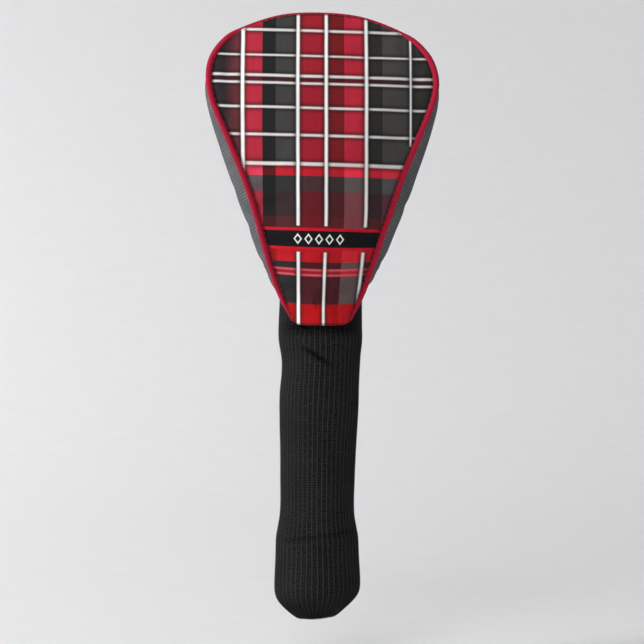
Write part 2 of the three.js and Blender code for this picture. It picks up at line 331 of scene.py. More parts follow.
def grid_object(name, grid, material, uv_grids=None, wrap_rows=False, wrap_cols=False, caps=False):
    """An object from a (rows, columns, 3) grid of points, with optional fans over its ends."""
    rows, cols = grid.shape[:2]
    r, c = grid_corners(rows, cols, wrap_rows, wrap_cols)
    faces = (r % rows) * cols + c % cols
    uvs = {}
    for layer, values in (uv_grids or {}).items():
        uvs[layer] = values[np.minimum(r, values.shape[0] - 1), np.minimum(c, values.shape[1] - 1)]
    faces = faces.tolist()
    if caps:
        first = list(range(cols))
        faces += [first[::-1], [(rows - 1) * cols + k for k in first]]
        for layer, values in uvs.items():
            ends = np.repeat([values[0, 0], values[-1, 0]], cols, axis=0)
            uvs[layer] = np.vstack([values.reshape(-1, 2), ends])
    return mesh_object(name, grid.reshape(-1, 3), faces, material, uvs)


def grid_normals(grid):
    """Unit normals of a grid of points, along rows x columns."""
    across = np.gradient(grid, axis=1)
    up = np.gradient(grid, axis=0)
    normals = np.cross(across, up)
    return normals / np.maximum(np.linalg.norm(normals, axis=-1, keepdims=True), 1e-9)


def sheet_object(name, grid, thickness, material, uv_grids):
    """A closed sheet: grid is its outer face, and its four edges are rounded."""
    up = unit(grid[[1, -1]] - grid[[0, -2]]) * 0.4 * thickness
    grid = np.concatenate([grid[:1] - up[:1], grid, grid[-1:] + up[1:]])
    rows, cols = grid.shape[:2]
    normals = grid_normals(grid)
    squeeze = np.zeros((rows, 1, 1))
    squeeze[[0, -1]] = 0.3 * thickness
    outer = grid - normals * squeeze
    inner = grid - normals * (thickness - squeeze)
    middle = (outer + inner) / 2
    aside = unit(np.gradient(grid, axis=1)) * 0.4 * thickness
    right_edge = middle[:, -1:] + aside[:, -1:]
    left_edge = middle[:, :1] - aside[:, :1]
    loop = np.concatenate([outer, right_edge, inner[:, ::-1], left_edge], axis=1)
    total = loop.shape[1]
    r, c = grid_corners(rows, total, wrap_cols=True)
    k = np.arange(cols - 1)
    mirror = total - 2 - k
    cap = np.stack([k, mirror, mirror - 1, k + 1], axis=1).tolist()
    cap += [[cols - 1, cols + 1, cols], [total - 1, total - 2, 0]]
    last = (rows - 1) * total
    faces = (r * total + c % total).tolist() + cap
    faces += [[last + corner for corner in face[::-1]] for face in cap]
    corners = [corner for face in faces for corner in face]
    uvs = {}
    for layer, values in uv_grids.items():
        v = np.concatenate([values[:1], values, values[-1:]])
        by_point = np.concatenate([v, v[:, -1:], v[:, ::-1], v[:, :1]], axis=1)
        uvs[layer] = by_point.reshape(-1, 2)[corners]
    return mesh_object(name, loop.reshape(-1, 3), faces, material, uvs)


def resampled(grid, rows, cols):
    """grid at another number of rows and columns, smoothed so that its old cells don't show."""
    old_rows, old_cols = grid.shape[:2]
    r = np.linspace(0, old_rows - 1, rows)
    c = np.linspace(0, old_cols - 1, cols)
    r0 = np.minimum(r.astype(int), old_rows - 2)
    c0 = np.minimum(c.astype(int), old_cols - 2)
    tr = (r - r0)[:, None, None]
    tc = (c - c0)[None, :, None]
    low = mix(grid[r0][:, c0], grid[r0][:, c0 + 1], tc)
    high = mix(grid[r0 + 1][:, c0], grid[r0 + 1][:, c0 + 1], tc)
    fine = mix(low, high, tr)
    for _ in range(3):
        fine[1:-1] = (fine[:-2] + 2 * fine[1:-1] + fine[2:]) / 4
        fine[:, 1:-1] = (fine[:, :-2] + 2 * fine[:, 1:-1] + fine[:, 2:]) / 4
    return fine


# ---- cloth simulation ----


def settle_cloth(grid):
    """How far cloth sewn down along its edges moves when the foam behind it pushes it out."""
    rows, cols = grid.shape[:2]
    obj = grid_object("settling_cloth", grid, None)
    index = np.arange(rows * cols).reshape(rows, cols)
    edge = np.unique(np.concatenate([index[0], index[-1], index[:, 0], index[:, -1]]))
    pins = obj.vertex_groups.new(name="sewn")
    pins.add(edge.tolist(), 1.0, "REPLACE")
    cloth = obj.modifiers.new("cloth", "CLOTH")
    settings = cloth.settings
    settings.vertex_group_mass = "sewn"
    settings.quality = 6
    settings.mass = 0.2
    settings.tension_stiffness = 25
    settings.compression_stiffness = 25
    settings.shear_stiffness = 10
    settings.bending_stiffness = 0.4
    settings.shrink_min = -SIM_SLACK
    settings.use_pressure = True
    settings.uniform_pressure_force = SIM_PRESSURE
    settings.effector_weights.gravity = 0
    cloth.point_cache.frame_end = SIM_STEPS
    for step in range(1, SIM_STEPS + 1):
        bpy.context.scene.frame_set(step)
    settled = obj.evaluated_get(bpy.context.evaluated_depsgraph_get()).to_mesh()
    points = np.zeros(rows * cols * 3, np.float32)
    settled.vertices.foreach_get("co", points)
    bpy.data.objects.remove(obj)
    bpy.context.scene.frame_set(1)
    moved = points.reshape(rows, cols, 3) / MM - grid
    length = np.linalg.norm(moved, axis=-1, keepdims=True)
    return moved * SIM_CAP * np.tanh(length / SIM_CAP) / np.maximum(length, 1e-9)


# ---- shader nodes ----


def rgb(red, green, blue):
    """A scene-linear colour from 0 to 255 display values."""
    channels = [c / 255 for c in (red, green, blue)]
    return [c / 12.92 if c <= 0.04045 else ((c + 0.055) / 1.055) ** 2.4 for c in channels] + [1]


def feed(socket, value):
    """Links a socket to a Value, or sets it to a plain number or colour."""
    if isinstance(value, Value):
        value.tree.links.new(value.socket, socket)
    else:
        socket.default_value = value


def math_node(operation, reverse=False):
    """A method of Value that makes a Math node."""

    def method(self, *others):
        made = self.tree.nodes.new("ShaderNodeMath")
        made.operation = operation
        operands = (*others, self) if reverse else (self, *others)
        for socket, operand in zip(made.inputs, operands):
            feed(socket, operand)
        return Value(self.tree, made.outputs[0])

    return method


class Value:
    """What a node puts out. Sums with it make Math nodes."""

    def __init__(self, tree, socket):
        self.tree = tree
        self.socket = socket

    __add__ = math_node("ADD")
    __sub__ = math_node("SUBTRACT")
    __rsub__ = math_node("SUBTRACT", reverse=True)
    __mul__ = math_node("MULTIPLY")
    __truediv__ = math_node("DIVIDE")
    __pow__ = math_node("POWER")
    __abs__ = math_node("ABSOLUTE")
    sine = math_node("SINE")
    cosine = math_node("COSINE")
    fraction = math_node("FRACT")
    at_least = math_node("MAXIMUM")
    at_most = math_node("MINIMUM")

    def clamped(self):
        return self.at_least(0.0).at_most(1.0)


class Look:
    """A node material round one Principled BSDF, with short calls for the nodes used here."""

    def __init__(self, name, roughness, specular=0.3, sheen=0.0):
        self.material = bpy.data.materials.new(name)
        self.material.use_nodes = True
        self.tree = self.material.node_tree
        self.put("Roughness", roughness)
        self.put("Specular IOR Level", specular)
        self.put("Sheen Weight", sheen)

    def put(self, name, value):
        feed(self.tree.nodes["Principled BSDF"].inputs[name], value)

    def node(self, kind, inputs=(), **settings):
        made = self.tree.nodes.new("ShaderNode" + kind)
        for key, value in settings.items():
            setattr(made, key, value)
        for key, value in dict(inputs).items():
            feed(made.inputs[key], value)
        return made

    def value(self, kind, inputs=(), output=0, **settings):
        """What a new node puts out at one of its outputs."""
        return Value(self.tree, self.node(kind, inputs, **settings).outputs[output])

    def mix(self, factor, a, b, blend="MIX"):
        inputs = {0: factor, 6: a, 7: b}
        return self.value("Mix", inputs, 2, data_type="RGBA", blend_type=blend)

    def step(self, value, edge, soft):
        """0 below edge and 1 above it, smoothed over soft to either side."""
        inputs = {0: value, 1: edge - soft, 2: edge + soft}
        return self.value("MapRange", inputs, interpolation_type="SMOOTHSTEP")

    def band(self, value, middle, width, soft):
        """1 inside a band about middle, with soft edges."""
        return 1 - self.step(abs(value - middle), width / 2, soft)

    def uv(self, layer, scale=1.0):
        """The two coordinates of a UV layer."""
        parts = self.node("SeparateXYZ", {0: self.value("UVMap", uv_map=layer)})
        return [Value(self.tree, parts.outputs[k]) * scale for k in range(2)]

    def vector(self, x, y, z=0.0):
        return self.value("CombineXYZ", {0: x, 1: y, 2: z})

    def noise(self, vector, scale, detail=2.0):
        return self.value("TexNoise", {"Vector": vector, "Scale": scale, "Detail": detail})

    def stripes(self, value, stops):
        """The colour of the last stop below value, for stops of (position, colour)."""
        made = self.node("ValToRGB", {0: value})
        ramp = made.color_ramp
        ramp.interpolation = "CONSTANT"
        while len(ramp.elements) < len(stops):
            ramp.elements.new(0.5)
        for element, (position, colour) in zip(ramp.elements, stops):
            element.position = position
            element.color = colour
        return Value(self.tree, made.outputs[0])

    def bump(self, height, distance):
        inputs = {"Height": height, "Distance": distance, "Strength": 1.0}
        self.put("Normal", self.value("Bump", inputs))


def weave_height(u, v, pitch):
    """A plain weave: threads along u and v that pass over and under each other."""
    turn = tau / pitch
    return (u * turn).sine() * (v * turn).sine()


def twill_height(u, v, pitch):
    """Fine diagonal ridges."""
    return ((u + v) * (tau / pitch)).sine()


# ---- the printed plaid ----

PRINT_SPAN = 66.0  # the column ramps run from -PRINT_SPAN to PRINT_SPAN

# Left edges of the plaid's columns, in mm from the middle.
COLUMN_EDGES = [-66, -42, -32.2, -25.1, -12.3, 3.2, 12.2, 24.0, 32.7, 48.0]
UPPER_COLUMNS = [
    (45, 40, 43), (170, 43, 60), (34, 35, 35), (64, 61, 61), (152, 33, 46),
    (114, 29, 32), (178, 42, 59), (48, 47, 45), (70, 69, 67), (50, 50, 48),
]
RED_COLUMNS = [
    (218, 63, 85), (218, 63, 85), (84, 26, 26), (184, 33, 48), (190, 30, 44),
    (182, 35, 45), (240, 56, 76), (196, 42, 56), (212, 54, 68), (190, 44, 54),
]
DARK_COLUMNS = [
    (90, 77, 82), (90, 77, 82), (30, 32, 31), (51, 50, 50), (69, 48, 50),
    (57, 50, 49), (97, 88, 89), (56, 54, 54), (84, 82, 86), (62, 60, 60),
]
MAROON_COLUMNS = [
    (150, 46, 58), (150, 46, 58), (32, 30, 30), (56, 42, 43), (97, 29, 35),
    (79, 36, 39), (126, 71, 76), (60, 42, 44), (90, 56, 64), (70, 50, 54),
]
LOW_COLUMNS = [
    (36, 37, 37), (36, 37, 37), (35, 36, 36), (42, 42, 43), (73, 30, 36),
    (74, 33, 39), (100, 83, 83), (56, 54, 55), (56, 54, 55), (56, 54, 55),
]
WHITE = rgb(241, 238, 236)
PRINT_RED = rgb(200, 24, 44)
LOW_RED = rgb(176, 22, 20)
BAND_BLACK = rgb(24, 24, 26)
FLUSH = rgb(122, 52, 58)  # red that comes up beside the first white line
BETWEEN_LINES = rgb(96, 28, 38)  # between the two white lines that lie close together
LINE_SHADE = rgb(26, 24, 26)  # beside each white line

# Vertical white lines as (x, width, lowest z), and horizontal ones as (z, width).
VERTICAL_LINES = [
    (-42.7, 1.8, 0), (-12.7, 1.6, 0), (2.6, 1.6, 0),
    (24.3, 1.6, 0), (48.4, 0.9, 262),
]
HORIZONTAL_LINES = [
    (324.2, 1.4), (309.6, 1.0), (298.3, 1.4), (294.3, 1.2), (281.1, 1.2),
    (266.3, 1.3), (250.9, 1.8),
]

# Below the white lines: (z where the row ends, columns, colour mixed in, its share).
LOWER_ROWS = [
    (250.0, RED_COLUMNS, None, 0),
    (244.6, DARK_COLUMNS, None, 0),
    (236.2, MAROON_COLUMNS, None, 0),
    (222.9, MAROON_COLUMNS, PRINT_RED, 0.07),
    (204.8, RED_COLUMNS, LOW_RED, 0.5),
    (198.4, LOW_COLUMNS, None, 0),
    (194.9, RED_COLUMNS, rgb(96, 30, 36), 0.45),
    (190.7, LOW_COLUMNS, None, 0),
    (175.4, RED_COLUMNS, rgb(162, 16, 12), 0.8),
]
PINK_LINES = [(194.2, 1.0), (191.4, 1.0)]
PINK = rgb(224, 104, 118)
BAND = (215.3, 206.5)  # top and bottom of the black band
BAND_BORDER = 1.6
BAND_MIDDLE_X = -1.1
WARP_TOP = 226.0  # the print bends below this height, more and more over WARP_HEIGHT
WARP_HEIGHT = 52.0


def column_colours(look, x, columns):
    places = [(edge + PRINT_SPAN) / (2 * PRINT_SPAN) for edge in COLUMN_EDGES]
    stops = [(place, rgb(*colour)) for place, colour in zip(places, columns)]
    return look.stripes(x / (2 * PRINT_SPAN) + 0.5, stops)


def warped_print(look, x, z):
    """The print lies slightly tilted, and it bends where the panel wraps the neck."""
    low = ((WARP_TOP - z) / WARP_HEIGHT).clamped() ** 1.4
    tilt = low * -0.016 + 0.0286
    sag = low * 0.0035 + 0.0003
    right = look.step(x, 5.5, 18.5)
    return x + right * low * 5.0, z + tilt * x - sag * (x * x)


def printed_plaid(look, x, z):
    """The colour of the front panel's print at x and z."""
    x, z = warped_print(look, x, z)
    colour = column_colours(look, x, UPPER_COLUMNS)
    flush = ((x + 53.0) / 9.0).clamped() * look.band(x, -48.0, 9.6, 0.1)
    colour = look.mix(flush * 0.7, colour, FLUSH)
    between = look.band(z, 296.3, 3.4, 0.3)
    colour = look.mix(between * 0.55, colour, BETWEEN_LINES)
    for top, columns, tint, share in LOWER_ROWS:
        row = column_colours(look, x, columns)
        if tint:
            row = look.mix(share, row, tint)
        colour = look.mix(1 - look.step(z, top, 0.35), colour, row)
    for middle, width in HORIZONTAL_LINES:
        colour = plaid_line(look, colour, z, middle, width, 0.74)
    for middle, width in PINK_LINES:
        colour = look.mix(look.band(z, middle, width, 0.5) * 0.7, colour, PINK)
    clear_of_band = 1 - band_mask(look, z, 1.1)
    for middle, width, lowest in VERTICAL_LINES:
        there = clear_of_band * look.step(z, lowest, 0.5)
        colour = plaid_line(look, colour, x, middle, width, 1.0, there)
    colour = look.mix(band_mask(look, z, 0.0), colour, PRINT_RED)
    return name_band(look, colour, x, z)


def plaid_line(look, colour, along, middle, width, whiteness, there=1.0):
    """A white line, which lets some of the colour under it through, with soft shade beside it."""
    off = abs(along - middle)
    tone = look.mix(whiteness, colour, WHITE)
    shade = 1 - look.step(off, width / 2 + 1.1, 1.9)
    colour = look.mix(shade * 0.88 * there, colour, LINE_SHADE)
    line = 1 - look.step(off, width / 2, 0.5)
    return look.mix(line * there, colour, tone)


def band_mask(look, z, margin):
    """1 on the black band, its borders and margin to both sides."""
    top, bottom = BAND
    width = top - bottom + 2 * (BAND_BORDER + margin)
    return look.band(z, (top + bottom) / 2, width, 0.3)


def name_band(look, colour, x, z):
    """The black band with a row of outlined lozenges where the real cover has its owner's name."""
    top, bottom = BAND
    middle = (top + bottom) / 2
    colour = look.mix(look.band(z, middle, top - bottom, 0.25), colour, BAND_BLACK)
    half_width, half_height = LOZENGE_HALF
    left = BAND_MIDDLE_X - LOZENGES * LOZENGE_PITCH / 2
    off_cell = ((x - left) / LOZENGE_PITCH).fraction() - 0.5
    out = abs(off_cell * (LOZENGE_PITCH / half_width)) + abs(z - middle) / half_height
    outline = look.band(out, 0.8, 0.36, 0.09)
    row = look.band(x, BAND_MIDDLE_X, LOZENGES * LOZENGE_PITCH, 0.05)
    return look.mix(outline * row, colour, WHITE)


# ---- materials ----

MESH_PITCH = 1.5  # between the mesh cloth's rows of holes
MESH_STEP = 1.7  # between the holes in a row
KNIT_PAINTED_SHADE = rgb(2, 2, 2)  # painted shade between the ribs and in the knit's dents


def seam_groove_shade(look, colour):
    """Painted shade: cloth is darker in the groove beside the piping, where shade falls."""
    groove = 1 - look.step(look.uv("seam", 100.0)[0], 2.6, 0.9)
    return look.mix(groove * 0.55, colour, rgb(16, 12, 14))


def printed_cloth():
    look = Look("printed_cloth", 0.75, specular=0.06)
    x, z = look.uv("print", 100.0)
    u, v = look.uv("cloth", 100.0)
    place = look.vector(u, v)
    wobble = look.noise(place, 0.05) * 0.3 - 0.15
    colour = printed_plaid(look, x + wobble, z + wobble)
    weave = weave_height(u, v, 0.62)
    fibre = look.noise(place, 2.4, 3.0)
    streaks = look.noise(look.vector(u * 1.3, v * 0.03), 1.0)
    shade = weave * 0.05 + fibre * 0.16 + streaks * 0.26 + 0.79
    colour = look.mix(1.0, colour, look.vector(shade, shade, shade), "MULTIPLY")
    hem = 1 - look.step(z, HEM_Z + 1.0, 0.5)
    colour = look.mix(hem * 0.6, colour, rgb(40, 34, 34))
    # with painted shade in the groove beside the piping
    look.put("Base Color", seam_groove_shade(look, colour))
    look.put("Roughness", fibre * 0.2 + 0.65)
    look.bump(weave + fibre * 0.6, 0.00005)
    return look.material


def mesh_cloth(name, base, painted_glint):
    """Knitted sports mesh: small holes in slanting rows, with painted shade in the holes and painted
    highlights on the ridges between them.
    """
    look = Look(name, 0.85, specular=0.05)
    u, v = look.uv("cloth", 100.0)
    row = ((u + v * 0.55) * (tau / MESH_PITCH)).sine()
    ridge = row * (v * (tau / MESH_STEP)).sine() + row * 0.5
    fibre = look.noise(look.vector(u, v), 1.8, 3.0)
    cloudy = look.noise(look.vector(u, v), 0.08, 1.0)
    # Holes painted near black: painted shade inside them.
    colour = look.mix(look.step(ridge, -0.55, 0.4), rgb(8, 8, 9), base)
    # Painted highlight on the ridge tops, which stands in for the cloth's sheen.
    painted_highlight = look.step(ridge, 0.5, 0.6) * (cloudy + fibre * 0.6)
    colour = look.mix(painted_highlight * 0.6, colour, painted_glint)
    # with painted shade in the groove beside the piping
    look.put("Base Color", seam_groove_shade(look, colour))
    look.bump(ridge + fibre * 0.4, 0.00012)
    return look.material


def piping_cloth():
    """Satin bias strip: fine threads that run slanting round the cord."""
    look = Look("piping_satin", 0.5, specular=0.14)
    u, v = look.uv("cloth", 100.0)
    slant = twill_height(u, v, 0.55)
    fibre = look.noise(look.vector(u, v), 1.5, 3.0)
    wear = look.noise(look.vector(u, v), 0.12, 2.0)
    colour = look.mix(slant * 0.12 + 0.5, rgb(150, 14, 42), rgb(186, 26, 58))
    colour = look.mix(wear * 0.25, colour, rgb(136, 10, 36))
    look.put("Base Color", colour)
    look.put("Roughness", fibre * 0.25 + 0.4)
    look.bump(slant + fibre * 0.5, 0.00004)
    return look.material


def knit_yarn():
    """Black acrylic rib knit. The knit layer counts ribs and rows of stitches."""
    look = Look("knit_yarn", 0.95, specular=0.03)
    ribs, courses = look.uv("knit")
    crest = look.step((ribs * tau).cosine(), 0.0, 0.8)
    flank = 1 - look.step((ribs * (2 * tau)).cosine(), -0.25, 0.7)
    place = look.vector(ribs * 3.0, courses * 1.25)
    fuzz = look.noise(place, 3.2, 4.0)
    tufts = look.noise(place, 0.9, 2.0)
    patchy = look.noise(place, 0.05, 2.0)
    row = (courses * tau).cosine()
    dots = look.step(row, -0.1, 0.6) * look.step(tufts, 0.46, 0.16)
    # Painted shade: crests a little lighter, and the gaps between ribs and beside the wales near
    # black.
    between_ribs_shade = (1 - crest) * (dots * 0.8)
    beside_wales_shade = flank * (dots * 0.5 + 0.25)
    colour = look.mix(crest, rgb(44, 44, 46), rgb(52, 52, 53))
    colour = look.mix(fuzz * 0.3, colour, rgb(74, 74, 76))
    colour = look.mix((between_ribs_shade + beside_wales_shade).clamped(), colour, KNIT_PAINTED_SHADE)
    colour = look.mix(patchy * 0.4, colour, rgb(16, 15, 16))
    # Painted shade in the crease, under the shell's hem and along the cuff's fold.
    colour = look.mix(look.uv("shade")[0], colour, KNIT_PAINTED_SHADE)
    look.put("Base Color", colour)
    slope = abs((ribs * pi).sine())
    yarn = ((courses * 2.0 + slope * 1.6) * tau).sine()
    look.bump(fuzz * 1.2 + yarn * 0.35, 0.00022)
    return look.material


def soft_layer(name, base, light, scale, depth):
    """Foam or brushed lining: small pores and tufts."""
    look = Look(name, 0.9, specular=0.1, sheen=0.3)
    place = look.vector(*look.uv("cloth", 100.0))
    cells = look.value("TexVoronoi", {"Vector": place, "Scale": scale})
    tufts = look.noise(place, scale * 1.7, 4.0)
    colour = look.mix(cells, base, light)
    look.put("Base Color", look.mix(tufts * 0.4, colour, light))
    look.bump(cells + tufts, depth)
    return look.material


def thread(name, base, light):
    """Twisted thread or cord: slanting strands along its length."""
    look = Look(name, 0.55, specular=0.35, sheen=0.2)
    u, v = look.uv("cloth", 100.0)
    strands = twill_height(u, v, 0.5)
    fibre = look.noise(look.vector(u, v), 6.0, 2.0)
    look.put("Base Color", look.mix(strands * 0.3 + fibre, base, light))
    look.bump(strands, 0.00004)
    return look.material


def woven_elastic():
    """Woven elastic: ribs of rubber thread with fine cross threads."""
    look = Look("woven_elastic", 0.6, specular=0.3, sheen=0.2)
    u, v = look.uv("cloth", 100.0)
    cords = (v * tau).sine()
    cross = weave_height(u, v, 0.5)
    colour = look.mix(cords * 0.4 + 0.5, rgb(26, 26, 28), rgb(66, 66, 70))
    look.put("Base Color", look.mix(cross * 0.1 + 0.1, colour, rgb(90, 90, 94)))
    look.bump(cords + cross * 0.4, 0.0002)
    return look.material


PRINT = printed_cloth()
# The last colour of each mesh cloth is its painted highlight.
GUSSET_MESH = mesh_cloth("gusset_mesh", rgb(78, 80, 82), rgb(198, 200, 204))
BACK_CLOTH = mesh_cloth("back_cloth", rgb(50, 51, 55), rgb(104, 106, 112))
PIPING = piping_cloth()
KNIT = knit_yarn()
FOAM_LOOK = soft_layer("foam", rgb(92, 93, 98), rgb(140, 141, 146), 1.1, 0.0004)
LINING_LOOK = soft_layer("brushed_lining", rgb(26, 26, 28), rgb(58, 58, 62), 0.9, 0.0003)
SEWING_THREAD = thread("sewing_thread", rgb(120, 14, 34), rgb(166, 34, 56))
FILLER = thread("filler_cord", rgb(196, 190, 178), rgb(232, 228, 220))
ELASTIC_LOOK = woven_elastic()


# ---- shell panels ----


def panel_outline(a, v):
    """x, z and seam depth for a from -1 to 1 across and v from 0 at the hem to 1 at the top."""
    side = SEAM.at(v * CORNER_SHARE)
    corner = SEAM.at(CORNER_SHARE)
    hem = SEAM.at(0.0)
    across = np.abs(a)
    top = SEAM.at(mix(CORNER_SHARE, 0.5, 1 - across))
    hem_z = mix(HEM_Z, hem[2], a**6)
    x = across * side[..., 0] + v * (top[..., 0] - across * corner[0])
    z = side[..., 2] + v * (top[..., 2] - corner[2]) + (1 - v) * (hem_z - hem[2])
    depth = -side[..., 1] + v * (corner[1] - top[..., 1])
    return np.sign(a) * x, z, depth


def side_inset(inset, v):
    """The share of the half width that keeps inset away from the side seam."""
    tangent = SEAM.tangent(v * CORNER_SHARE)
    slant = np.hypot(tangent[..., 0], tangent[..., 2]) / tangent[..., 2]
    return inset * slant / SEAM.at(v * CORNER_SHARE)[..., 0]


def panel_grid(side, inset, rows, cols, bottom=0.0):
    """A panel's outer surface as (rows, cols, 3), with the distance of each point to the seam."""
    v_table = np.linspace(0, 1, 400)
    heights = SEAM.at(v_table * CORNER_SHARE)[:, 2] - HEM_Z
    start_v = np.interp(bottom, heights, v_table)
    v = np.linspace(start_v, 1 - TOP_INSET_FACTOR * inset / PANEL_HEIGHT, rows)[:, None]
    inset_share = side_inset(inset, v)
    a = np.linspace(-1, 1, cols)[None] * (1 - inset_share)
    v = np.broadcast_to(v, a.shape)
    x, z, seam_depth = panel_outline(a, v)
    height = z - HEM_Z
    middle = profile(PANEL_MIDDLE, height / SHELL_HEIGHT) * SHELL_DEPTH
    domed = mix(seam_depth, np.maximum(middle, seam_depth), 1 - a * a)
    neck = np.sqrt(np.maximum(HEM_RADIUS**2 - x * x, 0))
    depth = mix(neck, domed, smoothstep(height, *NECK_BLEND))
    over = np.maximum(depth - (SHELL_DEPTH - 0.8), 0)
    depth = depth - over + 0.8 * (1 - np.exp(-over / 0.8))
    to_side = (1 - np.abs(a)) * inset / np.maximum(inset_share, 1e-6)
    to_top = (1 - v) * PANEL_HEIGHT / TOP_INSET_FACTOR
    to_seam = (np.maximum(to_side, 0.05) ** -3 + np.maximum(to_top, 0.05) ** -3) ** (-1 / 3)
    grid = leaned(joined(x, side * depth, z))
    if side < 0:
        return grid, to_seam
    return grid[:, ::-1], to_seam[:, ::-1]


def sewn(grid, to_seam, along, seed, groove_depth):
    """Cloth near a seam: drawn into the groove, with puckers that die out away from it."""
    groove = -groove_depth * np.exp(-((to_seam / SEAM_GROOVE_WIDTH) ** 2))
    phase = along * tau / PUCKER_LENGTH + 1.5 * waves(along, to_seam, (31, 47), seed)
    pucker = PUCKER * np.sin(phase) * np.exp(-((to_seam - 4) / 7) ** 2)
    rolling = 0.22 * waves(grid[..., 0], grid[..., 2], (34, 52, 71), seed + 1)
    height = groove + pucker + rolling * smoothstep(to_seam, 2, 16)
    return grid + grid_normals(grid) * height[..., None]


def run_along(grid):
    """Lengths in mm along a grid's columns and up its rows, from its middle column and first row."""
    across = np.linalg.norm(np.diff(grid, axis=1), axis=-1)
    u = np.concatenate([np.zeros((grid.shape[0], 1)), np.cumsum(across, axis=1)], axis=1)
    u -= u[:, grid.shape[1] // 2][:, None]
    up = np.linalg.norm(np.diff(grid[:, grid.shape[1] // 2], axis=0), axis=-1)
    return joined(u, np.concatenate([[0], np.cumsum(up)])[:, None])


def uv_layers(grid, to_seam, with_print=False):
    """Layer values are hundredths of the lengths in mm."""
    layers = {
        "cloth": run_along(grid) / 100,
        "seam": joined(to_seam, to_seam) / 100,
    }
    if with_print:
        layers["print"] = grid[..., [0, 2]] / 100
    return layers


def make_panel(name, side, material, seed):
    rows, cols = 170, 120
    coarse, _ = panel_grid(side, CLOTH_INSET, 54, 40)
    puffed = resampled(settle_cloth(coarse), rows, cols)
    grid, to_seam = panel_grid(side, CLOTH_INSET, rows, cols)
    shallow_top = 1 - smoothstep(grid[..., 2] - HEM_Z, 0.86 * SHELL_HEIGHT, 0.95 * SHELL_HEIGHT)
    grid = sewn(grid + puffed, to_seam, grid[..., 2], seed, SEAM_GROOVE * shallow_top)
    cloth = sheet_object(name + "_cloth", grid, CLOTH, material, uv_layers(grid, to_seam, True))
    finish_piece(cloth, "shell", name + "_panel")

    inner, to_seam = panel_grid(side, INNER_INSET, 70, 50, INNER_BOTTOM)
    dimples = 0.15 * waves(inner[..., 0], inner[..., 2], (9, 14, 21), seed + 5)[..., None]
    make_padding(name, inner, to_seam, dimples)
    return grid


def make_padding(name, outer, to_seam, dimples=0.0):
    """The foam pad behind a piece of outer cloth, and the lining behind the foam."""
    normals = grid_normals(outer)
    layers = uv_layers(outer, to_seam)
    foam_face = outer - normals * (CLOTH + LAYER_GAP - dimples)
    foam = sheet_object(name + "_foam_pad", foam_face, FOAM, FOAM_LOOK, layers)
    finish_piece(foam, "shell", name + "_foam")
    lining_face = outer - normals * (CLOTH + FOAM + 2 * LAYER_GAP - dimples)
    lining = sheet_object(name + "_lining_cloth", lining_face, LINING, LINING_LOOK, layers)
    finish_piece(lining, "shell", name + "_lining")


def finish_piece(obj, body, node):
    """Rides obj on a body, in place of a CAD node, which it hides."""
    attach(obj, body)
    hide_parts(node)


# ---- gusset ----


def gusset_grid(inset, rows, cols, skip=0.0):
    """Rows run along the seam from the right of the neck, and columns from front to back.

    skip is the share of the length that is left out at each end.
    """
    along = np.linspace(skip, 1 - skip, rows)
    point = GUSSET_SEAM.at(along)
    outward = -unit(GUSSET_SEAM.inward(along))
    neck_to_top = 1 - np.abs(2 * along - 1)
    half_depth = -point[:, 1]
    reach = 1 - inset / half_depth
    across = np.linspace(-1, 1, cols)[None] * reach[:, None]
    bulge = profile(GUSSET_BULGE, neck_to_top)[:, None] * (1 - across**2)
    grid = point[:, None] * [1, 0, 1] + outward[:, None] * bulge[..., None]
    grid[..., 1] = half_depth[:, None] * across
    to_seam = (1 - np.abs(across)) * half_depth[:, None]
    return leaned(grid), to_seam


def make_gusset():
    rows, cols = 420, 44
    coarse, _ = gusset_grid(CLOTH_INSET, 140, 22)
    puffed = resampled(settle_cloth(coarse), rows, cols)
    grid, to_seam = gusset_grid(CLOTH_INSET, rows, cols)
    along = np.broadcast_to(np.linspace(0, GUSSET_SEAM.length, rows)[:, None], to_seam.shape)
    grid = sewn(grid + puffed, to_seam, along, 31, SEAM_GROOVE)
    cloth = sheet_object("gusset_cloth", grid, CLOTH, GUSSET_MESH, uv_layers(grid, to_seam))
    finish_piece(cloth, "shell", "gusset_panel")
    inner, to_seam = gusset_grid(GUSSET_INNER_INSET, 200, 20, GUSSET_INNER_SKIP)
    make_padding("gusset", inner, to_seam)


# ---- piping ----


def sweep(path_points, radii, sides):
    """Rings of points round a path, as (rows, sides, 3)."""
    tangents = unit(np.gradient(path_points, axis=0))
    first = unit(np.cross(tangents, [0, 1, 0]))
    second = np.cross(tangents, first)
    angle = (np.arange(sides) * tau / sides)[:, None]
    ring = first[:, None] * np.cos(angle) + second[:, None] * np.sin(angle)
    return path_points[:, None] + ring * radii[..., None]


def tube_layers(length, rows, cols, around):
    """A cloth layer for a tube: along it and round it, with one column past the last."""
    along = np.linspace(0, length, rows)[:, None]
    return {"cloth": joined(along, np.linspace(0, around, cols + 1)) / 100}


def top_share(s):
    """1 where the seam runs over the top, and 0 along the sides."""
    return np.abs(SEAM.tangent(s)[..., 0]) ** 3


def piping_line(s, side):
    """The middle of the piping: the seam, rolled back at the top and tucked in at its ends."""
    roll = SEAM.inward(s) + [0, 1, 0]
    point = SEAM.at(s) + roll * (PIPING_TOP_ROLL * top_share(s) ** 2)[:, None]
    from_end = np.minimum(s, 1 - s) * SEAM.length
    tuck = PIPING_END_TUCK * (1 - smoothstep(from_end, 0, PIPING_TAPER)) ** 2
    radial = unit(point * [1, 1, 0])
    return leaned((point - radial * tuck[:, None]) * [1, -side, 1])


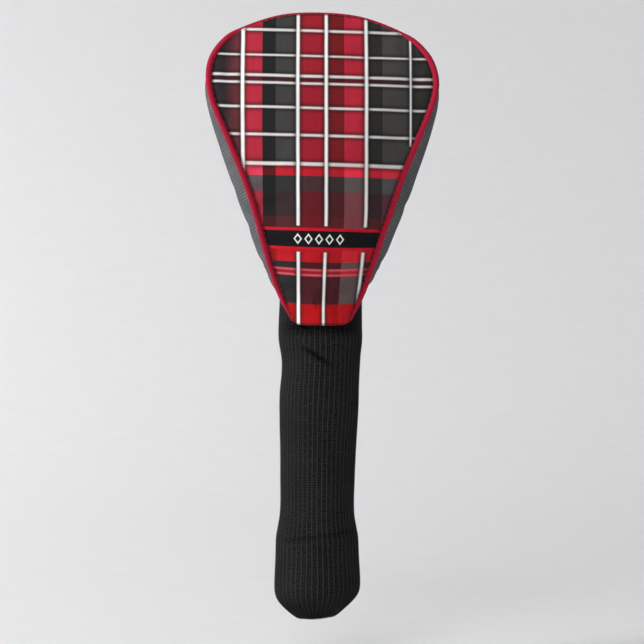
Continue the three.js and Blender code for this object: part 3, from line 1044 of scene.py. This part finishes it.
def make_piping(name, side):
    rows, sides = 460, 22
    s = np.linspace(0, 1, rows)
    line = piping_line(s, side)
    run = s * SEAM.length
    from_end = np.minimum(run, SEAM.length - run)
    slim = mix(PIPING_END_SHARE, 1.0, smoothstep(from_end, 0, PIPING_TAPER))[:, None]
    stitched = 0.012 * np.sin(run * tau / STITCH_PITCH)
    uneven = 1 + stitched + 0.02 * waves(run, 0 * run, (17, 29), 7)
    all_round = np.ones((1, sides))
    outer = sweep(line, PIPING_RADIUS * slim * uneven[:, None] * all_round, sides)
    bore = sweep(line, (PIPING_RADIUS - PIPING_COVER) * slim * all_round, sides)
    skin = np.concatenate([outer, bore[::-1]])
    layers = tube_layers(2 * SEAM.length, 2 * rows, sides, tau * PIPING_RADIUS)
    cover = grid_object(name + "_piping_bias", skin, PIPING, layers, wrap_rows=True, wrap_cols=True)
    finish_piece(cover, "shell", name + "_piping_cover")

    sides = 12
    angle = np.arange(sides) * tau / sides
    lay = run[:, None] * tau / FILLER_LAY
    strands = FILLER_RADIUS * slim * (1 + 0.14 * np.cos(3 * angle[None] + 3 * lay))
    core = sweep(line, strands, sides)
    layers = tube_layers(SEAM.length, rows, sides, tau * FILLER_RADIUS)
    cord = grid_object(name + "_piping_filler", core, FILLER, layers, wrap_cols=True, caps=True)
    finish_piece(cord, "shell", name + "_piping_cord")


def depth_on(grid, x, z):
    """The y of a panel's surface at each x and z, from its four nearest grid points."""
    flat = grid.reshape(-1, 3)
    depths = np.empty(len(x))
    for k in range(len(x)):
        off = (flat[:, 0] - x[k]) ** 2 + (flat[:, 2] - z[k]) ** 2
        near = np.argpartition(off, 4)[:4]
        weight = 1 / (off[near] + 0.05)
        depths[k] = (flat[near, 1] * weight).sum() / weight.sum()
    return depths


def stitch_row(name, side, panel):
    """Thread stitches in the panel's cloth, beside the piping."""
    count = int(SEAM.length / STITCH_PITCH)
    ring_at = np.array([-1.0, -0.8, 0.0, 0.8, 1.0]) * STITCH_LENGTH / 2
    ring_size = np.array([0.35, 0.9, 1.0, 0.9, 0.35]) * THREAD_RADIUS
    lift = np.array([-0.2, 0.0, 0.12, 0.0, -0.2])
    sides, rings = 6, len(ring_at)
    middles = (np.arange(count) + 0.5) / count
    s = np.clip(middles[:, None] + ring_at / SEAM.length, 0, 1).ravel()
    offset = STITCH_OFFSET * (1 - 0.75 * top_share(s))
    place = leaned(SEAM.at(s) + unit(SEAM.inward(s)) * offset[:, None])
    place[:, 1] = depth_on(panel, place[:, 0], place[:, 2]) + side * np.tile(lift, count)
    radii = np.repeat(ring_size[:, None], sides, axis=1)
    points = [sweep(line, radii, sides) for line in place.reshape(count, rings, 3)]
    corner_rows, corner_cols = grid_corners(rings, sides, wrap_cols=True)
    one = (corner_rows * sides + corner_cols % sides).tolist()
    one += [list(range(sides))[::-1], [(rings - 1) * sides + c for c in range(sides)]]
    size = rings * sides
    faces = [[k * size + c for c in face] for k in range(count) for face in one]
    corners = [c for face in one for c in face]
    cloth = [(ring_at[c // sides] / 100, (c % sides) * THREAD_RADIUS / 100) for c in corners]
    points = np.concatenate([p.reshape(-1, 3) for p in points])
    uvs = {"cloth": cloth * count}
    stitches = mesh_object(name + "_seam_stitches", points, faces, SEWING_THREAD, uvs)
    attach(stitches, "shell")


# ---- knitted sock ----


def knit_relief(rib, course):
    """Height of the knit at (ribs, courses): round ribs, stitches on them, purl dots between."""
    turn = rib * tau
    crest = (1 + np.cos(turn)) / 2
    wale = (1 + np.cos(2 * turn)) / 2
    ribbing = RIB_HEIGHT * (0.45 * (crest - 1) + 0.55 * (wale - 1))
    off_crest = np.abs((rib + 0.5) % 1 - 0.5)
    chevron = np.cos((course + 2.2 * off_crest) * tau)
    purl = np.cos(course * tau)
    return ribbing + STITCH_HEIGHT * (chevron * crest + 1.1 * purl * (1 - crest))


def rib_drift(angle, z):
    """Ribs wander a little to the side on their way down the sock."""
    return 0.12 * np.sin(z / 31 + 2 * np.sin(angle)) + 0.04 * np.sin(z / 9 + 3 * angle)


def sock_dents(angle, z):
    """Heights of the knit's dents, and how deep in shade each place lies.

    The neck elastic pulls the left side in, a crease slants over the front, the knit is drawn in
    under the shell's hem, and the cuff's turned-in edge shows as a fold.
    """
    left = smoothstep(-np.cos(angle), 0.2, 1.0)
    grip = -0.9 * left * hump(z, 141, 10)
    front = -pi / 2
    around = (angle - front + pi) % tau - pi
    above = z - (146.0 - 13 * around)
    crease = -2.1 * hump(above, 0, 1.4) * hump(around, -0.08, 0.38)
    swell = 1.2 * hump(above, 4.0, 2.8) * hump(around, -0.1, 0.7)
    second = -0.5 * hump(above, 11.5, 1.4) * hump(around, -0.5, 0.35)
    facing = smoothstep(np.cos(around), 0.2, 0.8)
    under_hem = -0.9 * facing * hump(z, 163.0, 4.5)
    fold_z = 47.5 + 3.0 * np.cos(angle)
    fold = facing * (0.4 * hump(z, fold_z - 3.4, 2.4) - 0.4 * hump(z, fold_z, 1.6))
    uneven = 0.34 * waves(23 * angle, z, (38, 55, 24), 3) * smoothstep(190 - z, 6, 30)
    shade = -0.34 * crease - 0.6 * second - 0.7 * under_hem + 0.3 * facing * hump(z, fold_z, 1.5)
    return grip + crease + swell + second + under_hem + fold + uneven, np.clip(shade, 0, 0.9)


def sock_outline():
    """The sock's outer line from its mouth up: (radius, z) with the length along it."""
    cuff = np.array(CUFF_OUTLINE)
    upper = np.arange(CUFF_CUT + 1.0, SOCK_TOP + 4, 1.0)
    upper = joined(profile(SOCK_LINE, upper), upper)
    cuff = Path(joined(cuff[:, 0], cuff[:, 1], 0)).points[:, :2]
    line = np.vstack([cuff, upper])
    run = np.concatenate([[0], np.cumsum(np.linalg.norm(np.diff(line, axis=0), axis=1))])
    return line, run


OUTLINE, OUTLINE_RUN = sock_outline()


def outline_at(run):
    """Radius and z at lengths run along the outline."""
    return [np.interp(run, OUTLINE_RUN, OUTLINE[:, k]) for k in range(2)]


def knit_surface(run, angle, depth=0.0, relief=1.0):
    """Points of the knit at lengths run along the outline and angles round it."""
    run, angle = np.broadcast_arrays(run[:, None], angle[None])
    radius, z = outline_at(run)
    slope = unit(joined(*outline_at(run + 0.8)) - joined(*outline_at(run - 0.8)))
    ribs = angle / tau * RIBS
    courses = run / COURSE
    dents, shade = sock_dents(angle, z)
    mouth = 1 + 0.9 * (1 - smoothstep(run, 2, 14))
    height = knit_relief(ribs + rib_drift(angle, z), courses) * relief * mouth + dents - depth
    radius = radius + height * slope[..., 1]
    z = z - height * slope[..., 0]
    x = radius * np.cos(angle)
    y = radius * np.sin(angle)
    z = z + CUFF_TILT * x * (1 - smoothstep(z, 4, CUFF_TILT_TOP))
    x = x + profile(SOCK_LEAN, z)
    return joined(x, y, z), joined(ribs + rib_drift(angle, z), courses, shade, shade)


def run_at_height(z):
    return np.interp(z, OUTLINE[:, 1], OUTLINE_RUN)


def ring_angles(columns):
    """Angles round the sock. They start at the back, where the knit's own seam would be."""
    return pi / 2 + np.arange(columns) * tau / columns


def knit_piece(name, low_run, high_run, thickness, depth=0.0, relief=1.0, fineness=1.0):
    """A closed ring of knit between two lengths along the outline."""
    columns = int(RIBS * RIB_COLUMNS * fineness)
    rows = max(int(round((high_run - low_run) / COURSE * COURSE_ROWS * fineness)), 2)
    outer_run = np.linspace(low_run, high_run, rows + 1)
    inner_run = np.linspace(high_run, low_run, rows // 8 + 2)
    angle = ring_angles(columns)
    more = np.append(angle, angle[0] + tau)
    outer, _ = knit_surface(outer_run, angle, depth, relief)
    inner, _ = knit_surface(inner_run, angle, depth + thickness, -0.3 * relief)
    _, outer_layers = knit_surface(outer_run, more, depth)
    _, inner_layers = knit_surface(inner_run, more, depth)
    grid = np.concatenate([outer, inner])
    layers = np.concatenate([outer_layers, inner_layers])
    uv_grids = {"knit": layers[..., :2], "shade": layers[..., 2:]}
    obj = grid_object(name, grid, KNIT, uv_grids, wrap_rows=True, wrap_cols=True)
    sharpen_rings(obj, columns, [0, rows, rows + 1, grid.shape[0] - 1])
    return obj


def sharpen_rings(obj, columns, rings):
    """Marks the edges of some rings sharp, so that the end faces don't shade the knit."""
    mesh = obj.data
    ends = np.zeros(len(mesh.edges) * 2, np.int32)
    mesh.edges.foreach_get("vertices", ends)
    ring = ends.reshape(-1, 2) // columns
    sharp = (ring[:, 0] == ring[:, 1]) & np.isin(ring[:, 0], rings)
    mesh.attributes.new("sharp_edge", "BOOLEAN", "EDGE").data.foreach_set("value", sharp)


def make_sock():
    top, neck, middle, cuff = (run_at_height(z) for z in (SOCK_TOP, NECK_CUT, MIDDLE_CUT, CUFF_CUT))
    stretches = [
        ("sock_knit_top", neck, top, "shell", "neck_band", "sock_top", "neck_knit_upper"),
        ("sock_knit_neck", middle, neck, "neck_band", "sock", "neck_band_knit", "neck_knit_lower"),
        ("sock_knit_leg", cuff, middle, "sock", "cuff", "sock_middle", "sock_gather"),
    ]
    for name, low, high, upper_body, lower_body, plain, flexible in stretches:
        piece = knit_piece(name, low, high, KNIT_THICKNESS)
        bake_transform(piece)
        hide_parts(plain, flexible)
    outer_ply = knit_piece("cuff_outer_ply", 0.0, cuff, CUFF_PLY)
    finish_piece(outer_ply, "cuff", "cuff_outer")
    inner_top = run_at_height(CUFF_INNER_TOP)
    inner_ply = knit_piece("cuff_inner_ply", 0.8, inner_top, CUFF_PLY, CUFF_INNER_GAP, 0.5, 0.5)
    finish_piece(inner_ply, "cuff", "cuff_inner")


def make_neck_elastic():
    """The elastic band inside the knit, which follows the knit's dents."""
    low, high = box_mm("neck_elastic")
    rows, columns = 28, 96
    run = np.linspace(run_at_height(low[2]), run_at_height(high[2]), rows)
    cords = 0.1 * np.cos(run * tau)[:, None]
    angle = ring_angles(columns)
    outer, _ = knit_surface(run, angle, ELASTIC_DEPTH - cords, 0.0)
    inner, _ = knit_surface(run[::-1], angle, ELASTIC_DEPTH + ELASTIC - cords, 0.0)
    grid = np.concatenate([outer, inner])
    layers = tube_layers(2 * (run[-1] - run[0]), 2 * rows, columns, tau * high[0])
    layers["cloth"] = layers["cloth"][..., ::-1]
    name = "neck_elastic_band"
    band = grid_object(name, grid, ELASTIC_LOOK, layers, wrap_rows=True, wrap_cols=True)
    finish_piece(band, "neck_band", "neck_elastic")


# ---- studio ----


def studio_paper():
    look = Look("studio_paper", 0.9, specular=0.1)
    grain = look.noise(look.value("TexCoord", output="Object"), 40.0, 3.0)
    look.put("Base Color", look.mix(grain, rgb(226, 226, 227), rgb(231, 231, 232)))
    return look.material


def make_studio():
    """A round pale floor that curves up into a pale wall."""
    floor_z, flat, wall = -30.0, 900.0, 3100.0
    turn = np.linspace(0, pi / 2, 25)
    radius = np.concatenate([[0.1], flat + (wall - flat) * np.sin(turn), [wall]])[:, None]
    z = np.concatenate([[0], (wall - flat) * (1 - np.cos(turn)), [3600 - floor_z]])[:, None] + floor_z
    angle = np.arange(96) * tau / 96
    grid = joined(radius * np.cos(angle), radius * np.sin(angle), z)
    grid_object("studio", grid, studio_paper(), wrap_cols=True)


# Area lights as (name, place, target, size, power). The last three light only the walls.
LIGHTS = [
    ("key", (-1.54, -0.53, 1.17), (0, 0, 0.2), 0.7, 27.8),
    ("front_fill", (-0.4, -1.6, 1.3), (0, 0, 0.2), 0.8, 13.2),
    ("wall_left", (-1.3, 0.9, 1.5), (-0.2, 3.1, 0.3), 0.8, 19),
    ("wall_right", (1.3, 0.9, 1.5), (0.2, 3.1, 0.3), 0.8, 3),
    ("wall_side", (-0.9, 0.3, 1.9), (-3.1, 0.3, 2.4), 0.8, 17),
]
WORLD_STRENGTH = 0.15


def add_light(name, place, target, size, power):
    light = bpy.data.lights.new(name, "AREA")
    light.size = size
    light.energy = power
    obj = bpy.data.objects.new(name, light)
    obj.location = place
    obj.rotation_mode = "QUATERNION"
    obj.rotation_quaternion = (Vector(target) - Vector(place)).to_track_quat("-Z", "Y")
    bpy.context.scene.collection.objects.link(obj)


def light_scene():
    for light in LIGHTS:
        add_light(*light)
    world = bpy.data.worlds.new("studio_world")
    world.use_nodes = True
    background = world.node_tree.nodes["Background"]
    background.inputs["Color"].default_value = (1.0, 1.0, 1.0, 1)
    background.inputs["Strength"].default_value = WORLD_STRENGTH
    bpy.context.scene.world = world
    bpy.context.scene.view_settings.view_transform = "Standard"


def add_camera():
    camera = bpy.data.cameras.new("camera")
    camera.lens = 120
    camera.sensor_width = 36
    obj = bpy.data.objects.new("camera", camera)
    obj.location = (0.0003, -1.204, 0.166)
    obj.rotation_euler = (pi / 2, 0, 0)
    bpy.context.scene.collection.objects.link(obj)
    bpy.context.scene.camera = obj


# ---- assembly ----


for panel_name, panel_side, material, seed in (("front", -1, PRINT, 11), ("back", 1, BACK_CLOTH, 23)):
    panel_surface = make_panel(panel_name, panel_side, material, seed)
    make_piping(panel_name, panel_side)
    stitch_row(panel_name, panel_side, panel_surface)
make_gusset()
make_sock()
make_neck_elastic()
make_studio()
light_scene()
add_camera()
